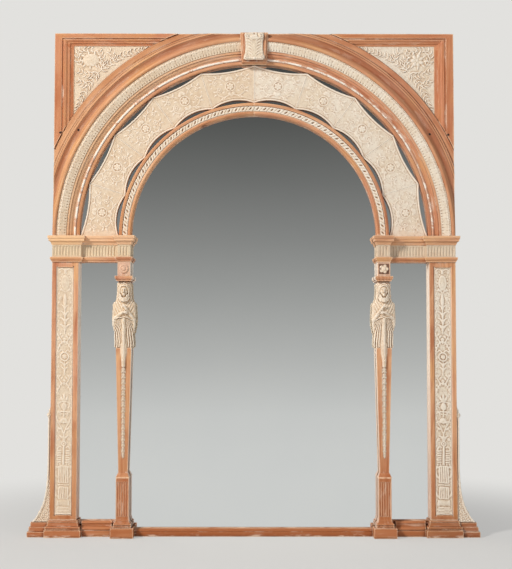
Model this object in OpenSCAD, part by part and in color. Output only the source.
// Arched overmantel mirror: a pine ground frame with stripped mouldings, cast composition ornament,
// a tall arched mirror plate, and two herm columns with draped busts that carry the inner arch.
// Front faces -Y, the foot stands on z = 0, and x = 0 is the middle.
// Most sizes are laid out as distances d in front of the back plane; `fronted()` turns them into Y.

/* [Overall] */
// Height of the spring line, which is the top of both cornices
spring_z = 1083; // [1000:1:1200]
// Height of the frame over the crown of the outer arch's opening
crown_h = 112; // [100:1:130]
// Half of the clear width of the middle opening, and its radius at the arch
opening_r = 447; // [400:1:500]
// Width of the inner arch, and of a herm
inner_arch_w = 46; // [42:1:52]
// Width of the fan, and of the bay between a herm and a pilaster
fan_w = 143; // [125:1:160]
// Width of a pilaster
pilaster_w = 96; // [86:1:108]
// Width of the outer arch, where it is not cut off by the frame
outer_arch_w = 163; // [150:1:176]

/* [Arches] */
// Turns of the ribbon in a quarter of the inner arch
ribbon_turns = 28; // [20:1:32]
// Leaves in a quarter of the outer arch
leaf_count = 52; // [40:1:56]
// Scalloped panels in the fan, on each side
fan_count = 5; // [3:1:6]
// Depth of the hollow in a panel's outer edge
fan_outer_hollow = 10.4; // [6:0.2:14]
// Depth of the hollow in a panel's inner edge
fan_inner_hollow = 20.8; // [12:0.2:24]
// Gap of the seam between two panels
fan_seam = 0.6; // [0.4:0.1:1]

/* [Ground frame and glass] */
// Depth of the stiles and rails
ground_t = 45; // [40:1:55]
// Thickness of the mirror plates
glass_t = 5; // [4:0.5:6]
// Distance of the front of the glass behind the front of the stiles
glass_inset = 8; // [6:0.5:12]
// Lap of the mouldings over the edge of the glass
lap = 13; // [10:0.5:16]
// Thickness of the back boards
board_t = 12; // [9:1:14]
// Number of back boards
board_count = 8; // [6:1:10]
// Gap between two back boards
board_gap = 1; // [0.5:0.1:2]
// Width of the rebate that the back boards lie in
board_rebate = 10; // [8:1:12]
// Height of the bottom rail
bottom_rail_h = 30; // [26:1:36]
// Height of the rails between a pilaster and a herm
side_rail_h = 58; // [52:1:62]
// Height of the top rail, on the back
top_rail_h = 56; // [50:1:70]
// Width of the lip behind a herm that covers the joint of two plates
herm_lip_w = 30; // [28:1:32]

/* [Spandrels] */
// Width of the upright strip at each side
side_strip_w = 69; // [62:1:76]
// Height of the strip along the top
top_strip_h = 44; // [39:1:50]
// How far the strips stand in front of the ground frame
strip_t = 20; // [16:1:24]
// Thickness of a spandrel panel
spandrel_t = 6; // [4:0.5:8]

/* [Entablature] */
// Height of the cornice
cornice_h = 33; // [29:0.5:37]
// Height of the fluted frieze
frieze_h = 44; // [40:0.5:50]
// Height of the moulding under the frieze
architrave_h = 17.5; // [15:0.5:20]
// How far the cornice stands out
cornice_out = 15; // [13:0.5:17]
// How far the moulding under the frieze stands out
architrave_out = 7; // [5:0.5:9]
// How much wider the entablature is than the pilaster under it, on the inner side
break_side = 9; // [6:0.5:12]
// Projection of the recessed stretch in front of the ground frame
middle_out = 17; // [14:0.5:22]
// Distance between two flutes
flute_pitch = 10.9; // [9:0.1:13]
// Radius of a flute
flute_r = 3.8; // [2.5:0.1:4.2]
// Height of the plain margin under and over the flutes
flute_margin = 5; // [3:0.5:7]

/* [Pilasters] */
// Projection of a pilaster in front of the ground frame
pilaster_t = 28; // [24:1:34]
// Width of the composition panel
panel_w = 60; // [53:0.5:66]
// Depth of the recess that holds the panel
panel_recess = 7; // [5:0.5:9]
// Thickness of the panel
panel_t = 4; // [3:0.5:5]
// Height of the wood over the panel
panel_top_margin = 20; // [13:1:25]
// Height of the wood between the base and the panel
panel_foot_margin = 16.5; // [8:0.5:22]
// Height of a pilaster's base
base_h = 62; // [58:1:70]
// Height of its plinth
plinth_h = 26; // [22:1:28]
// How far the plinth stands out
plinth_out = 17; // [14:0.5:18]

/* [Herms] */
// Depth of a herm in front of the ground frame
herm_t = 43; // [40:1:46]
// Height of the rosette block
block_h = 52; // [46:1:58]
// Height of the abacus
abacus_h = 18; // [15:0.5:21]
// How far the abacus stands out
abacus_out = 9; // [7:0.5:10]
// Height of the bust, from the shaft to the abacus
bust_h = 241; // [225:1:250]
// Width over the shoulders
bust_w = 88; // [82:1:92]
// Depth of the bust
bust_t = 48; // [42:1:50]
// Length of the fall of drapery below the bust
fall_h = 68; // [60:1:76]
// Width of the shaft at the top
shaft_top_w = 56; // [50:1:60]
// Width of the shaft at the foot
shaft_foot_w = 33.5; // [31:0.5:37]
// Depth of the shaft at the top
shaft_top_t = 36; // [32:0.5:38]
// Depth of the shaft at the foot
shaft_foot_t = 28; // [25:0.5:31]
// Height of the chamfered cap that the shaft stands in
cap_h = 17; // [15:0.5:20]
// Height of the fluted pedestal
pedestal_h = 146; // [130:1:160]
// Height of the moulding at the foot of the pedestal
pedestal_foot_h = 30; // [26:1:34]
// How far that moulding stands out
pedestal_foot_out = 8.5; // [7:0.5:10]
// Height of the plinth under a herm
herm_plinth_h = 36; // [32:1:40]
// How far that plinth stands out
herm_plinth_out = 18; // [15:0.5:19]
// Number of husks on a shaft
husk_count = 16; // [12:1:20]

/* [Keystone] */
// Width at the foot of the keystone
key_foot_w = 92; // [84:1:98]
// Width at the top of the keystone
key_top_w = 102; // [98:1:110]
// How far the block stands in front of the ground frame
key_t = 42; // [38:1:46]
// Width of the carved face
key_leaf_w = 70; // [64:1:76]

/* [Consoles] */
// Height of the top of a console
console_top = 465; // [430:1:500]
// How far the foot of a console stands out from the frame
console_out = 65; // [58:1:72]
// How far its long thin part stands out
console_lip = 9; // [7:0.5:12]
// Depth of a console, from front to back
console_t = 44; // [36:1:48]
// Distance of a console in front of the back
console_back = 26; // [20:1:30]
// How far the block under a console stands out from the frame
console_base_out = 80; // [74:1:86]
// Height of that block
console_base_h = 52; // [46:1:58]

/* [Fixings] */
// Radius of the hole in a hanging plate
hanger_r = 4; // [3:0.5:5]
// Length of a hanging plate
hanger_l = 64; // [56:1:72]
// Width of a hanging plate
hanger_w = 22; // [18:1:26]
// Thickness of a hanging plate
hanger_t = 2.5; // [2:0.5:4]
// Height of the hanging plates
hanger_z = 1560; // [1400:1:1700]

/* [Hidden] */
$fn = 96;
fit = 0.3;                                   // clearance at curved faces
over = 1;                                    // how far a cut runs past what it cuts

// Radii and half widths, from the middle outwards
inner_r0 = opening_r;
inner_r1 = inner_r0 + inner_arch_w;
outer_r0 = inner_r1 + fan_w;
outer_r1 = outer_r0 + outer_arch_w;
half_w = outer_r0 + pilaster_w;
total_h = spring_z + outer_r0 + crown_h;

// Distances in front of the back plane
glass_front = ground_t - glass_inset;
glass_back = glass_front - glass_t;
pilaster_front = ground_t + pilaster_t;
herm_front = ground_t + herm_t;
middle_front = ground_t + middle_out;
frieze_proud = 3;                            // frieze in front of the pilaster
cornice_break = pilaster_front + frieze_proud;
total_d = max(herm_front + max(herm_plinth_out, cornice_out), pilaster_front + plinth_out,
    cornice_break + cornice_out);
back_y = total_d / 2;

// Heights
cornice_z = spring_z - cornice_h;
frieze_z = cornice_z - frieze_h;
architrave_z = frieze_z - architrave_h;
block_z = architrave_z - block_h;
abacus_z = block_z - abacus_h;
bust_z = abacus_z - bust_h;
pedestal_z = herm_plinth_h + pedestal_foot_h;
cap_z = pedestal_z + pedestal_h;
shaft_z = cap_z + cap_h;
panel_z = base_h + panel_foot_margin;
panel_top = architrave_z - panel_top_margin;

// Places across the width
web_in = inner_r0 + lap;                     // edge of the centre plate
web_out = inner_r1 - lap;                    // inner edge of a side plate
stile_x = outer_r0 + lap;                    // outer edge of a side plate, inner face of a stile
herm_x = (inner_r0 + inner_r1) / 2;
herm_w = inner_r1 - inner_r0;
pilaster_x = (outer_r0 + half_w) / 2;

wood = [0.80, 0.58, 0.43];
gesso = [0.87, 0.80, 0.69];
silver = [0.62, 0.64, 0.64];
iron = [0.32, 0.31, 0.30];

// ---------- frames and helpers ----------

// x, distance in front of the back, z
module fronted() translate([0, back_y, 0]) mirror([0, 1, 0]) children();

// Right-hand side as drawn, left-hand side mirrored
module on(side) mirror([side < 0 ? 1 : 0, 0, 0]) children();

// A plan of (x, d), from height z0 to z1
module plan(z0, z1) fronted() translate([0, 0, z0]) linear_extrude(z1 - z0) children();

// An outline of (x, z), from distance d0 to d1
module slab(d0, d1) translate([0, back_y - d0, 0]) rotate([90, 0, 0]) linear_extrude(d1 - d0) children();

// A section of (d, z), from x0 to x1
module run_x(x0, x1) translate([x1, back_y, 0]) rotate([90, 0, -90]) linear_extrude(x1 - x0) children();

// A section of (r, d), swept about the centre of the arches from angle a0 to a1
module swept(section, a0 = 0, a1 = 90) translate([0, back_y, spring_z]) rotate([90, 0, 0])
    rotate([0, 0, a0]) rotate_extrude(angle = a1 - a0, $fn = 180) polygon(section);

// A full disc of radius r about the centre of the arches
module arch_disc(r, d0, d1) translate([0, back_y - d0, spring_z]) rotate([90, 0, 0])
    cylinder(r = r, h = d1 - d0, $fn = 180);

module box(x0, x1, d0, d1, z0, z1) plan(z0, z1) polygon([[x0, d0], [x1, d0], [x1, d1], [x0, d1]]);

// The wedge that the keystone fills
function key_half(z) = (key_foot_w + (key_top_w - key_foot_w) * (z - key_z) / (total_h - key_z)) / 2;
key_z = spring_z + outer_r0 + 2;
module key_wedge(d0, d1, z0, z1) slab(d0, d1)
    polygon([[-key_half(z0), z0], [key_half(z0), z0], [key_half(z1), z1], [-key_half(z1), z1]]);

// Quarter arc as points, from angle a0 to a1
function arc(c, r, a0, a1, n = 6) =
    [for (i = [0:n]) let (a = a0 + (a1 - a0) * i / n) c + r * [cos(a), sin(a)]];

// Moulding along a plan path of (x, d) with square corners; it stands out to the left of the path.
// The section holds points (out, z).
function left_of(v) = [-v[1], v[0]] / norm(v);
function mitre(path, i) =
    i == 0 ? left_of(path[1] - path[0]) :
    i == len(path) - 1 ? left_of(path[i] - path[i - 1]) :
    left_of(path[i] - path[i - 1]) + left_of(path[i + 1] - path[i]);
module moulding(path, section) {
    reach = max([for (p = section) p[0]]) + over;
    z0 = min([for (p = section) p[1]]);
    z1 = max([for (p = section) p[1]]);
    fronted() for (i = [0:len(path) - 2]) intersection() {
        translate([0, 0, z0 - over]) linear_extrude(z1 - z0 + 2 * over)
            polygon([path[i], path[i + 1], path[i + 1] + reach * mitre(path, i + 1),
                path[i] + reach * mitre(path, i)]);
        translate([path[i][0], path[i][1], 0])
            rotate([0, 0, atan2(path[i + 1][1] - path[i][1], path[i + 1][0] - path[i][0])])
            translate([-2 * reach, 0, 0]) rotate([90, 0, 90])
            linear_extrude(norm(path[i + 1] - path[i]) + 4 * reach) polygon(section);
    }
}

// ---------- ground frame ----------

module bottom_rail() color(wood) run_x(-stile_x, stile_x)
    polygon([[0, 0], [ground_t, 0], [ground_t, bottom_rail_h], [glass_front, bottom_rail_h],
        [glass_front, bottom_rail_h - lap], [glass_back, bottom_rail_h - lap],
        [glass_back, bottom_rail_h - lap - board_rebate], [0, bottom_rail_h - lap - board_rebate]]);

module top_rail() color(wood) box(-stile_x, stile_x, 0, glass_back, total_h - top_rail_h, total_h);

module stile(side) color(wood) on(side) difference() {
    box(stile_x, half_w, 0, ground_t, 0, total_h);
    // rebate for the back boards
    box(stile_x - over, stile_x + board_rebate, -over, glass_back,
        bottom_rail_h - lap - board_rebate, total_h - top_rail_h);
    hanger_place() {
        plate_blank(-over, hanger_back + hanger_t, hanger_l + 2 * fit, hanger_w + 2 * fit);
        plate_blank(0, hanger_back + hanger_t + hook_room, hanger_l / 2, hanger_w - 6);
    }
}

module herm_stile(side) color(wood) on(side) union() {
    box(web_in, web_out, glass_back, glass_front, bottom_rail_h - lap, spring_z);
    box(herm_x - herm_lip_w / 2, herm_x + herm_lip_w / 2, glass_front, ground_t, bottom_rail_h, spring_z);
}

module transoms() color(wood) for (side = [-1, 1]) on(side) union() {
    box(web_out, stile_x, glass_back, glass_front, architrave_z + lap, spring_z - lap);
    box(herm_x + herm_lip_w / 2, stile_x, glass_front, ground_t, architrave_z, spring_z);
}

module spandrel_board(side) color(wood) on(side) difference() {
    box(0, stile_x, glass_back, ground_t, spring_z, total_h);
    arch_disc(stile_x, glass_back - over, ground_t + over);
}

board_w = (2 * (stile_x + board_rebate) - (board_count - 1) * board_gap) / board_count;
module backboards() color(wood) for (i = [0:board_count - 1]) {
    x = -stile_x - board_rebate + i * (board_w + board_gap);
    box(x, x + board_w, glass_back - board_t, glass_back,
        bottom_rail_h - lap - board_rebate, total_h - top_rail_h);
}

// ---------- mirror plates ----------

module centre_glass() color(silver) union() {
    box(-web_in, web_in, glass_back, glass_front, bottom_rail_h - lap, spring_z);
    intersection() {
        arch_disc(web_in, glass_back, glass_front);
        box(-web_in, web_in, 0, ground_t, spring_z, total_h);
    }
}

module side_glass(side) color(silver) on(side)
    box(web_out, stile_x, glass_back, glass_front, side_rail_h - lap, architrave_z + lap);

module arch_glass() color(silver) for (side = [-1, 1]) on(side) difference() {
    union() {
        intersection() {
            arch_disc(stile_x, glass_back, glass_front);
            box(0, stile_x, 0, ground_t, spring_z, total_h);
        }
        box(web_out, stile_x, glass_back, glass_front, spring_z - lap, spring_z);
    }
    arch_disc(web_out, glass_back - over, glass_front + over);
}

// ---------- inner arch ----------

ribbon_r0 = inner_r0 + 14;                   // channel that the ribbon lies in
ribbon_r1 = inner_r1 - 12;
ribbon_floor = ground_t + 9;
ribbon_t = 5;

function inner_section() = concat(
    [[web_in, glass_back], [web_out, glass_back], [web_out, glass_front], [inner_r1, glass_front]],
    [[inner_r1, ground_t + 9]], arc([inner_r1 - 5, ground_t + 12], 5, 0, 90, 4),
    [[ribbon_r1 + 1.5, ground_t + 17], [ribbon_r1, ground_t + 15.5], [ribbon_r1, ribbon_floor],
    [ribbon_r0, ribbon_floor], [ribbon_r0, ground_t + 13]],
    arc([ribbon_r0 - 6.5, ground_t + 8], 6.5, 50, 170, 6),
    [[inner_r0, ground_t + 7], [inner_r0, glass_front], [web_in, glass_front]]);

module inner_archivolt(side) color(wood) on(side) swept(inner_section());

// Twisted ribbon with a round eye in each turn
module ribbon_bands() color(gesso) for (side = [-1, 1]) on(side) {
    step = 90 / ribbon_turns;
    mid = (ribbon_r0 + ribbon_r1) / 2;
    half = (ribbon_r1 - ribbon_r0) / 2 - fit;
    difference() {
        swept([[mid - half, ribbon_floor], [mid + half, ribbon_floor],
            [mid + half, ribbon_floor + ribbon_t - 2], [mid + half - 3, ribbon_floor + ribbon_t],
            [mid - half + 3, ribbon_floor + ribbon_t], [mid - half, ribbon_floor + ribbon_t - 2]]);
        for (i = [0:ribbon_turns - 1]) translate([0, back_y - ribbon_floor - 1.5, spring_z])
            rotate([90, 90 - (i + 0.5) * step, 0]) translate([0, mid, 0]) cylinder(r = 4.2, h = ribbon_t);
    }
}

// ---------- outer arch ----------

bead_r = 4.25;
bead_mid = outer_r0 + 13 + bead_r;
leaf_r0 = outer_r0 + 47;
leaf_r1 = outer_r0 + 81;
leaf_floor = ground_t + 17;

function outer_section() = concat(
    [[outer_r0, glass_front], [stile_x, glass_front], [stile_x, ground_t], [outer_r1, ground_t],
    [outer_r1, ground_t + 13], [outer_r1 - 3, ground_t + 15], [outer_r1 - 21, ground_t + 15],
    [outer_r1 - 24, ground_t + 19], [outer_r1 - 30, ground_t + 19], [outer_r1 - 33, ground_t + 22],
    [outer_r1 - 39, ground_t + 22]],
    arc([leaf_r1 + 32, ground_t + 30], 12, -60, -140, 6),
    [[leaf_r1 + 17, ground_t + 27]],
    arc([leaf_r1 + 8, ground_t + 27], 8, 20, 160, 8),
    [[leaf_r1, ground_t + 26], [leaf_r1, leaf_floor], [leaf_r0, leaf_floor], [leaf_r0, ground_t + 23],
    [leaf_r0 - 8, ground_t + 22]],
    arc([leaf_r0 - 10, ground_t + 8], 10, 75, 165, 6),
    [[bead_mid + bead_r + 1, ground_t + 10], [bead_mid - bead_r - 1, ground_t + 10],
    [bead_mid - bead_r - 2, ground_t + 12], [outer_r0 + 4, ground_t + 12]],
    arc([outer_r0 + 4, ground_t + 8], 4, 90, 180, 4));

module outer_archivolt(side) color(wood) on(side) difference() {
    intersection() {
        swept(outer_section());
        box(0, half_w, 0, total_d, 0, total_h);
    }
    key_wedge(ground_t, total_d, key_z, total_h + over);
}

module outer_beads() color(gesso) for (side = [-1, 1]) on(side) difference() {
    swept(concat([[bead_mid - bead_r, ground_t + 10]],
        [for (a = [170:-20:10]) [bead_mid, ground_t + 10] + bead_r * [cos(a), sin(a)]],
        [[bead_mid + bead_r, ground_t + 10]]));
    key_wedge(ground_t, total_d, key_z, total_h + over);
}

// Row of tongue-shaped leaves on a sloping band
module leaf_bands() color(gesso) for (side = [-1, 1]) on(side) difference() {
    union() {
        swept([[leaf_r0 + fit, leaf_floor], [leaf_r1 - fit, leaf_floor], [leaf_r1 - fit, leaf_floor + 6],
            [leaf_r0 + fit, leaf_floor + 3]]);
        step = 90 / leaf_count;
        for (i = [0:leaf_count - 1]) translate([0, back_y - leaf_floor - 3, spring_z])
            rotate([0, 90 - (i + 0.5) * step, 0]) translate([0, 0, leaf_r0 + 4])
            cylinder(r = 0.34 * step * PI / 180 * leaf_r0, h = leaf_r1 - leaf_r0 - 8, $fn = 32);
    }
    arch_disc(leaf_r1 + over, leaf_floor - 8, leaf_floor);
    key_wedge(ground_t, total_d, key_z, total_h + over);
}

// ---------- fan of scalloped panels ----------

fan_floor = glass_front;
fan_t = 12;
fan_step = 90 / fan_count;
fan_r0 = inner_r1 + fit;
fan_r1 = outer_r0 - fit;
// radius of the circle that cuts a hollow of depth s into a chord at radius r
function hollow_r(r, s) = (pow(r * sin(fan_step / 2), 2) + s * s) / (2 * s);
// one panel's outline, drawn in by m all round, from distance d0 to d1
module fan_blank(m, d0, d1) {
    r_in = hollow_r(fan_r0, fan_inner_hollow);
    r_out = hollow_r(fan_r1, fan_outer_hollow);
    c_in = fan_r0 * cos(fan_step / 2) + fan_inner_hollow - r_in;
    c_out = fan_r1 * cos(fan_step / 2) - fan_outer_hollow + r_out;
    a = fan_step / 2;
    side_shift = (m + fan_seam / 2) / cos(a);
    difference() {
        slab(d0, d1) polygon([[-fan_r1 * sin(a) + side_shift, fan_r1 * cos(a)],
            [fan_r1 * sin(a) - side_shift, fan_r1 * cos(a)],
            [fan_r0 * sin(a) - side_shift, fan_r0 * cos(a)],
            [-fan_r0 * sin(a) + side_shift, fan_r0 * cos(a)]]);
        for (cut = [[c_in, r_in + m], [c_out, r_out + m]])
            translate([0, back_y - d0 + over, cut[0]]) rotate([90, 0, 0])
                cylinder(r = cut[1], h = d1 - d0 + 2 * over, $fn = 180);
    }
}

module fan_panel() {
    mid = (fan_r0 + fan_r1) / 2 - 2;
    fan_blank(0, fan_floor, fan_floor + fan_t - 2);
    // raised border
    difference() {
        fan_blank(2.5, fan_floor + fan_t - 2, fan_floor + fan_t);
        fan_blank(6, fan_floor + fan_t - 2 - over, fan_floor + fan_t + over);
    }
    // medallion
    translate([0, back_y - fan_floor - fan_t + 2, mid]) rotate([90, 0, 0]) {
        rotate_extrude() polygon([[0, 0], [29, 0], [29, 2], [27, 4], [24, 4], [22, 1.5], [9, 1.5],
            [8, 4], [5, 5.5], [0, 6]]);
    }
}

module fan_panels(side) color(gesso) on(side) translate([0, 0, spring_z]) for (i = [0:fan_count - 1])
    rotate([0, (i + 0.5) * fan_step, 0]) fan_panel();

// ---------- keystone ----------

module keystone() color(wood) {
    key_wedge(ground_t, ground_t + key_t - 6, key_z, total_h);
    slab(ground_t + key_t - 6, ground_t + key_t) polygon([[-key_half(key_z) + 6, key_z + 8],
        [key_half(key_z) - 6, key_z + 8], [key_half(total_h) - 6, total_h - 4],
        [-key_half(total_h) + 6, total_h - 4]]);
}

// Leaf-faced console on the keystone: two scrolls and a waisted leaf between them
module keystone_leaf() color(gesso) {
    floor_d = ground_t + key_t;
    key_h = total_h - key_z;
    foot_z = key_z + 0.2 * key_h;            // middles of the two scrolls
    head_z = total_h - 0.23 * key_h;
    foot_r = 0.08 * key_h;
    head_r = 0.1 * key_h;
    run_x(-key_leaf_w / 2, key_leaf_w / 2) polygon(concat(
        [[floor_d, foot_z - foot_r]], arc([floor_d, foot_z], foot_r, -80, 60, 6),
        [[floor_d + 0.55 * head_r, (foot_z + head_z) / 2]],
        arc([floor_d, head_z], head_r, -20, 80, 5), [[floor_d, head_z + head_r]]));
    for (roll = [[foot_z, foot_r, 6], [head_z, head_r, 8]]) intersection() {
        run_x(-(key_leaf_w + roll[2]) / 2, (key_leaf_w + roll[2]) / 2) translate([floor_d, roll[0]])
            circle(r = roll[1]);
        box(-half_w, half_w, floor_d, total_d, 0, total_h);
    }
}

// ---------- spandrels ----------

strip_x = half_w - side_strip_w;
strip_z = total_h - top_strip_h;
// Shares of the strip's width, from the outside in, with the share of its thickness there
function strip_section(w) = [[0, ground_t], [0, ground_t + strip_t], [0.38 * w, ground_t + strip_t],
    [0.40 * w, ground_t + strip_t - 4], [0.46 * w, ground_t + strip_t - 4],
    [0.50 * w, ground_t + strip_t - 1], [0.60 * w, ground_t + strip_t - 2],
    [0.68 * w, ground_t + strip_t - 6], [0.78 * w, ground_t + strip_t - 7],
    [0.82 * w, ground_t + strip_t - 11], [w, ground_t + strip_t - 13], [w, ground_t]];

module spandrel_frame(side) color(wood) on(side) difference() {
    union() {
        // upright strip, below the mitre
        intersection() {
            fronted() translate([0, 0, spring_z]) linear_extrude(total_h - spring_z)
                polygon([for (p = strip_section(side_strip_w)) [half_w - p[0], p[1]]]);
            slab(0, total_d) polygon([[strip_x - over, spring_z], [half_w + over, spring_z],
                [half_w + side_strip_w, total_h + top_strip_h], [half_w, total_h], [strip_x, strip_z],
                [strip_x - over, strip_z - over]]);
        }
        // strip along the top, inside the mitre
        intersection() {
            run_x(0, half_w) polygon([for (p = strip_section(top_strip_h)) [p[1], total_h - p[0]]]);
            slab(0, total_d) polygon([[-over, strip_z - over], [strip_x, strip_z - over],
                [strip_x, strip_z], [half_w, total_h], [half_w, total_h + over], [-over, total_h + over]]);
        }
    }
    arch_disc(outer_r1, 0, total_d);
    key_wedge(0, total_d, key_z, total_h + over);
}

module spandrel_panel(side) color(gesso) on(side) difference() {
    box(0, strip_x, ground_t, ground_t + spandrel_t, spring_z, strip_z);
    arch_disc(outer_r1, 0, total_d);
}

// ---------- entablature ----------

// Plan of the entablature's face: herm block, recessed stretch, pilaster
function face_path() = [[inner_r0, ground_t], [inner_r0, herm_front], [inner_r1, herm_front],
    [inner_r1, middle_front], [outer_r0 - break_side, middle_front], [outer_r0 - break_side, cornice_break],
    [half_w, cornice_break]];
function wrap_path() = concat(face_path(), [[half_w, 0]]);
module face_core(z0, z1) plan(z0, z1) polygon(concat(face_path(), [[half_w, ground_t]]));

function cornice_section() = concat([[0, cornice_z], [2, cornice_z], [3, cornice_z + 4]],
    arc([cornice_out - 3, cornice_z + 5], cornice_out - 7, 180, 100, 5),
    [[cornice_out - 3, cornice_z + 14], [cornice_out - 3, cornice_z + 20]],
    [[cornice_out, spring_z - 9], [cornice_out, spring_z], [0, spring_z]]);
function architrave_section() = concat([[0, architrave_z], [2, architrave_z]],
    arc([2, architrave_z + 9], architrave_out - 3, -80, 0, 4),
    [[architrave_out, architrave_z + 11], [architrave_out, frieze_z], [0, frieze_z]]);

module cornice(side) color(wood) on(side) {
    face_core(cornice_z, spring_z);
    moulding(wrap_path(), cornice_section());
}

module architrave(side) color(wood) on(side) {
    face_core(architrave_z, frieze_z);
    moulding(wrap_path(), architrave_section());
}

// Upright round-ended flutes, spaced evenly along one stretch of the frieze
module flutes(x0, x1, d) {
    n = floor((x1 - x0 - 4) / flute_pitch);
    first = (x0 + x1 - (n - 1) * flute_pitch) / 2;
    for (i = [0:n - 1]) fronted() translate([first + i * flute_pitch, d + 1, frieze_z + flute_margin])
        cylinder(r = flute_r, h = frieze_h - 2 * flute_margin, $fn = 32);
}

module frieze(side) color(gesso) on(side) difference() {
    face_core(frieze_z, cornice_z);
    flutes(inner_r0, inner_r1, herm_front);
    flutes(inner_r1, outer_r0 - break_side, middle_front);
    flutes(outer_r0 - break_side, half_w, cornice_break);
}

// ---------- pilasters ----------

module pilaster(side) color(wood) on(side) difference() {
    plan(base_h, architrave_z) polygon([[outer_r0, glass_front], [stile_x, glass_front],
        [stile_x, ground_t], [half_w, ground_t], [half_w, pilaster_front], [outer_r0, pilaster_front]]);
    box(pilaster_x - panel_w / 2, pilaster_x + panel_w / 2, pilaster_front - panel_recess, total_d,
        panel_z, panel_top);
    // moulded edge of the recess
    hopper = 4;
    fronted() for (s = [-1, 1]) translate([pilaster_x + s * panel_w / 2, 0, panel_z - hopper])
        linear_extrude(panel_top - panel_z + 2 * hopper)
        polygon([[-hopper, pilaster_front + over], [hopper, pilaster_front + over],
            [0, pilaster_front - hopper]]);
}

module pilaster_panel(side) color(gesso) on(side) {
    back = pilaster_front - panel_recess;
    box(pilaster_x - panel_w / 2 + fit, pilaster_x + panel_w / 2 - fit, back, back + panel_t,
        panel_z + fit, panel_top - fit);
}

// Plinth, fillet, torus, a slope and a bead under the foot of the pilaster
function base_section() = concat([[0, 0], [plinth_out, 0], [plinth_out, plinth_h]],
    [[plinth_out - 3, plinth_h], [plinth_out - 3, plinth_h + 4]],
    arc([plinth_out - 7, plinth_h + 8.5], 4.5, -70, 90, 5),
    [[plinth_out - 9, plinth_h + 13], [plinth_out - 9, plinth_h + 15.5]],
    [[5.5, base_h - 13], [5.5, base_h - 9]],
    arc([2, base_h - 5.5], 3.5, -60, 80, 5), [[0, base_h - 2]]);

// It runs round the front and both sides
module base_moulding() moulding([[outer_r0, ground_t], [outer_r0, pilaster_front],
    [half_w, pilaster_front], [half_w, 0]], base_section());

module pilaster_base(side) color(wood) on(side) {
    plan(0, base_h) polygon([[outer_r0, ground_t], [half_w, ground_t], [half_w, pilaster_front],
        [outer_r0, pilaster_front]]);
    base_moulding();
}

// ---------- herms ----------

module herm_block(side) color(wood) on(side) {
    path = [[inner_r0, ground_t], [inner_r0, herm_front], [inner_r1, herm_front], [inner_r1, ground_t]];
    plan(abacus_z, architrave_z) polygon(path);
    moulding(path, concat([[0, abacus_z], [abacus_out - 5, abacus_z]],
        arc([abacus_out - 5, abacus_z + 8], 4, -90, 0, 4),
        [[abacus_out, abacus_z + 9], [abacus_out, block_z], [0, block_z]]));
    // rosette
    translate([herm_x, back_y - herm_front, block_z + block_h / 2]) rotate([90, 0, 0])
        rotate_extrude() polygon([[0, 0], [17, 0], [17, 2], [13, 4.5], [8, 3], [6, 6], [0, 7]]);
}

// Tapered pine shaft: each face is one plane
module tapered(z0, z1, w0, w1, t0, t1) intersection() {
    slab(ground_t, ground_t + max(t0, t1)) polygon([[herm_x - w0 / 2, z0], [herm_x + w0 / 2, z0],
        [herm_x + w1 / 2, z1], [herm_x - w1 / 2, z1]]);
    run_x(herm_x - max(w0, w1), herm_x + max(w0, w1))
        polygon([[ground_t, z0], [ground_t + t0, z0], [ground_t + t1, z1], [ground_t, z1]]);
}

module herm_shaft(side) color(wood) on(side) {
    tapered(shaft_z, bust_z, shaft_foot_w, shaft_top_w, shaft_foot_t, shaft_top_t);
    tapered(cap_z, shaft_z, herm_w + 4, shaft_foot_w + 2, herm_t, shaft_foot_t + 3);
}

// Distance of the shaft's front face at height z
function shaft_front(z) = ground_t + shaft_foot_t
    + (shaft_top_t - shaft_foot_t) * (z - shaft_z) / (bust_z - shaft_z);

// Husks hung one below another, each smaller than the one above
husk_top = bust_z - fall_h - 6;
husk_foot = shaft_z + 52;
module husk_chains() color(gesso) for (side = [-1, 1]) on(side) {
    pitch = (husk_top - husk_foot) / husk_count;
    lean = atan((shaft_top_t - shaft_foot_t) / (bust_z - shaft_z));
    difference() {
        union() {
            for (i = [0:husk_count - 1]) {
                z = husk_foot + i * pitch;
                k = 0.75 + 0.25 * i / husk_count;
                translate([herm_x, back_y - shaft_front(z), z]) rotate([lean, 0, 0]) scale([k, k, 1])
                    rotate_extrude($fn = 24) polygon([[0, 0], [2.4, 0], [5, 0.25 * pitch],
                        [8.5, 0.6 * pitch], [7.5, 0.75 * pitch], [4, 0.7 * pitch],
                        [3, 0.9 * pitch], [2.4, pitch + 1], [0, pitch + 1]]);
            }
        }
        tapered(shaft_z - over, bust_z, shaft_foot_w, shaft_top_w, shaft_foot_t, shaft_top_t);
        box(0, outer_r0, 0, ground_t, 0, total_h);
    }
}

module herm_pedestal(side) color(wood) on(side) {
    path = [[inner_r0, ground_t], [inner_r0, herm_front], [inner_r1, herm_front], [inner_r1, ground_t]];
    difference() {
        plan(herm_plinth_h, cap_z) polygon(path);
        for (i = [-2:2]) fronted() translate([herm_x + i * herm_w / 5.6, herm_front + 1.2, pedestal_z + 10])
            cylinder(r = 3.2, h = pedestal_h - 24, $fn = 32);
    }
    moulding(path, concat([[0, herm_plinth_h], [pedestal_foot_out, herm_plinth_h],
        [pedestal_foot_out, herm_plinth_h + 8]],
        arc([pedestal_foot_out - 4, herm_plinth_h + 12], 4, -60, 80, 4),
        [[2, pedestal_z - 10], [2, pedestal_z - 4], [0, pedestal_z]]));
}

module herm_plinths() color(wood) for (side = [-1, 1]) on(side)
    box(inner_r0 - herm_plinth_out, inner_r1 + herm_plinth_out, ground_t, herm_front + herm_plinth_out,
        0, herm_plinth_h);

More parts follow.
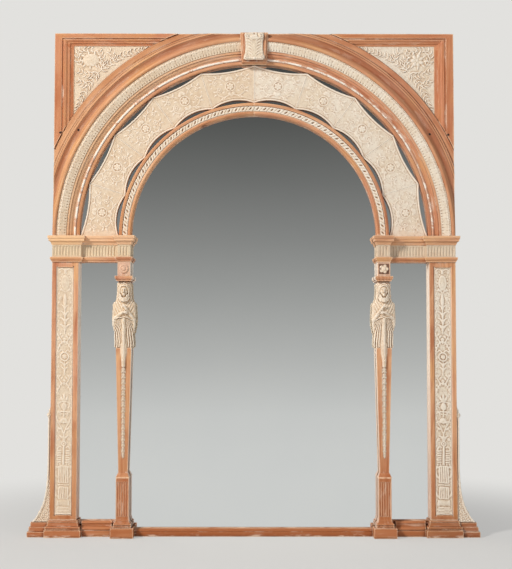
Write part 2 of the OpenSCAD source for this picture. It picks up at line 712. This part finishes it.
// Draped bust, lofted through rings of (share of the height, of the half width, of the half depth)
bust_mid = ground_t + fit + bust_t / 2;
function bust_at(share) = bust_z + share * bust_h;
module ring(r) fronted() translate([herm_x, bust_mid, bust_at(r[0])]) linear_extrude(0.01)
    scale([r[1] * bust_w / 2, r[2] * bust_t / 2]) circle(r = 1, $fn = 32);
module loft(rings) for (i = [0:len(rings) - 2]) hull() {
    ring(rings[i]);
    ring(rings[i + 1]);
}
// A ball at shares of (half width, half depth, height)
module bust_ball(at, r) fronted()
    translate([herm_x + at[0] * bust_w / 2, bust_mid + at[1] * bust_t / 2, bust_at(at[2])])
    sphere(r = r * bust_w, $fn = 24);
module herm_figure(side) color(gesso) on(side) intersection() {
    union() {
        // cloak, shoulders and veil
        loft([[0, 0.72, 0.80], [0.25, 0.80, 0.88], [0.42, 0.90, 0.96], [0.58, 0.98, 1],
            [0.68, 1, 0.96], [0.72, 0.82, 0.90], [0.75, 0.58, 0.80], [0.83, 0.54, 0.84],
            [0.93, 0.50, 0.84], [1, 0.40, 0.72]]);
        // folded forearms
        for (s = [-1, 1]) hull() {
            bust_ball([s * 0.82, 0.25, 0.43], 0.12);
            bust_ball([s * 0.10, 0.88, 0.63], 0.08);
        }
        // head inside the veil
        bust_ball([0, 0.30, 0.86], 0.19);
        // fall of drapery on the shaft
        hull() for (end = [[0, 12, 0.25], [-fall_h, 7, 0.16]]) fronted()
            translate([herm_x - end[2] * bust_w / 2, shaft_front(bust_z) + fit, bust_z + end[0]])
            linear_extrude(10) square([end[2] * bust_w, end[1]]);
    }
    box(0, outer_r0, ground_t + fit, total_d, bust_z - fall_h, abacus_z);
}

// ---------- rails at the foot ----------

plinth_in = outer_r0 - plinth_out;           // inner side of a pilaster's plinth
herm_plinth_outer = inner_r1 + herm_plinth_out;
module side_rail(side) color(wood) on(side) {
    run_x(web_out, stile_x) polygon([[glass_back, bottom_rail_h - lap], [glass_front, bottom_rail_h - lap],
        [glass_front, side_rail_h - lap], [glass_back, side_rail_h - lap]]);
    run_x(herm_x + herm_lip_w / 2, stile_x) polygon([[glass_front, bottom_rail_h],
        [ground_t, bottom_rail_h], [ground_t, side_rail_h], [glass_front, side_rail_h]]);
    run_x(herm_plinth_outer, plinth_in) polygon(concat([[ground_t, 0], [ground_t + 20, 0],
        [ground_t + 20, 22]], arc([ground_t + 13, 28], 7, -50, 60, 4),
        [[ground_t + 10, 38], [ground_t + 10, side_rail_h - 14]],
        arc([ground_t + 6, side_rail_h - 9], 6, -40, 90, 5), [[ground_t, side_rail_h - 3]]));
}

module middle_rail() color(wood) run_x(herm_plinth_out - inner_r0, inner_r0 - herm_plinth_out)
    polygon(concat([[ground_t, 0], [ground_t + 14, 0], [ground_t + 14, 16]],
        arc([ground_t + 8, 21], 6, -40, 90, 5),
        [[ground_t + 3, bottom_rail_h - 2], [ground_t, bottom_rail_h]]));

// ---------- consoles ----------

knob_r = 8;
// How far the console stands out at height z
function console_x(z) = half_w + console_lip
    + (console_out - console_lip) * pow((console_top - z) / (console_top - console_base_h), 7);
// Bracket with a hollow outer edge, scribed over the moulding beside it
module console(side) color(gesso) on(side) difference() {
    steps = 24;
    union() {
        slab(console_back, console_back + console_t) polygon(concat([[half_w, console_base_h]],
            [for (i = [0:steps]) let (z = console_base_h + (console_top - console_base_h) * i / steps)
                [console_x(z), z]], [[half_w, console_top]]));
        // small scroll near the top
        translate([half_w + console_lip - 2, back_y - console_back, console_top - 30]) rotate([90, 0, 0])
            cylinder(r = knob_r, h = console_t, $fn = 32);
    }
    base_moulding();
    box(0, half_w, 0, total_d, 0, total_h);
}

module console_bases() color(wood) for (side = [-1, 1]) on(side) difference() {
    // stand-out, side ledge, and the shares of the height between which each step lies
    steps = [[console_base_out, 8, 0, 0.36], [console_base_out - 6, 4, 0.36, 0.68],
        [console_out + 3, 2, 0.68, 1]];
    for (s = steps) box(half_w, half_w + s[0], console_back - s[1], console_back + console_t + s[1],
        s[2] * console_base_h, s[3] * console_base_h);
    base_moulding();
}

// ---------- fixings on the back ----------

hanger_back = 1.5;                           // the plates lie this far inside the back plane
hook_room = 14;                              // room behind a plate for the head of a screw or hook
hanger_x = (stile_x + board_rebate + half_w) / 2;
hanger_screw = hanger_l / 2 - 8;             // height of a screw over the middle of its plate
module hanger_place() translate([hanger_x, 0, hanger_z]) children();
module plate_blank(d0, d1, l, w) slab(d0, d1) square([w, l], center = true);
module hanging_plates() color(iron) for (side = [-1, 1]) on(side) hanger_place() difference() {
    plate_blank(hanger_back, hanger_back + hanger_t, hanger_l, hanger_w);
    slab(hanger_back - over, hanger_back + hanger_t + over) {
        circle(r = hanger_r);
        for (s = [-1, 1]) translate([0, s * hanger_screw]) circle(r = screw_r + fit);
    }
}

screw_r = 2;
module plate_screws() color(iron) for (side = [-1, 1]) on(side) hanger_place() for (s = [-1, 1])
    translate([0, back_y - hanger_back - hanger_t, s * hanger_screw]) rotate([-90, 0, 0])
    rotate_extrude($fn = 32) polygon([[0, 0], [screw_r, 0], [screw_r, hanger_t], [3.6, hanger_t],
        [2.6, hanger_t + 1.2], [0, hanger_t + 1.4]]);

bottom_rail();
top_rail();
stile(-1);  // left_stile
stile(1);  // right_stile
herm_stile(-1);  // herm_stile_left
herm_stile(1);  // herm_stile_right
transoms();
spandrel_board(-1);  // spandrel_board_left
spandrel_board(1);  // spandrel_board_right
backboards();
centre_glass();
side_glass(-1);  // left_glass
side_glass(1);  // right_glass
arch_glass();
inner_archivolt(-1);  // inner_archivolt_left
inner_archivolt(1);  // inner_archivolt_right
ribbon_bands();
outer_archivolt(-1);  // outer_archivolt_left
outer_archivolt(1);  // outer_archivolt_right
outer_beads();
leaf_bands();
fan_panels(-1);  // fan_panels_left
fan_panels(1);  // fan_panels_right
keystone();
keystone_leaf();
spandrel_frame(-1);  // spandrel_frame_left
spandrel_frame(1);  // spandrel_frame_right
spandrel_panel(-1);  // spandrel_panel_left
spandrel_panel(1);  // spandrel_panel_right
architrave(-1);  // architrave_left
architrave(1);  // architrave_right
frieze(-1);  // frieze_left
frieze(1);  // frieze_right
cornice(-1);  // cornice_left
cornice(1);  // cornice_right
pilaster(-1);  // pilaster_left
pilaster(1);  // pilaster_right
pilaster_panel(-1);  // pilaster_panel_left
pilaster_panel(1);  // pilaster_panel_right
pilaster_base(-1);  // pilaster_base_left
pilaster_base(1);  // pilaster_base_right
herm_block(-1);  // herm_block_left
herm_block(1);  // herm_block_right
herm_figure(-1);  // herm_figure_left
herm_figure(1);  // herm_figure_right
herm_shaft(-1);  // herm_shaft_left
herm_shaft(1);  // herm_shaft_right
husk_chains();
herm_pedestal(-1);  // herm_pedestal_left
herm_pedestal(1);  // herm_pedestal_right
herm_plinths();
side_rail(-1);  // side_rail_left
side_rail(1);  // side_rail_right
middle_rail();
console(-1);  // console_left
console(1);  // console_right
console_bases();
hanging_plates();
plate_screws();
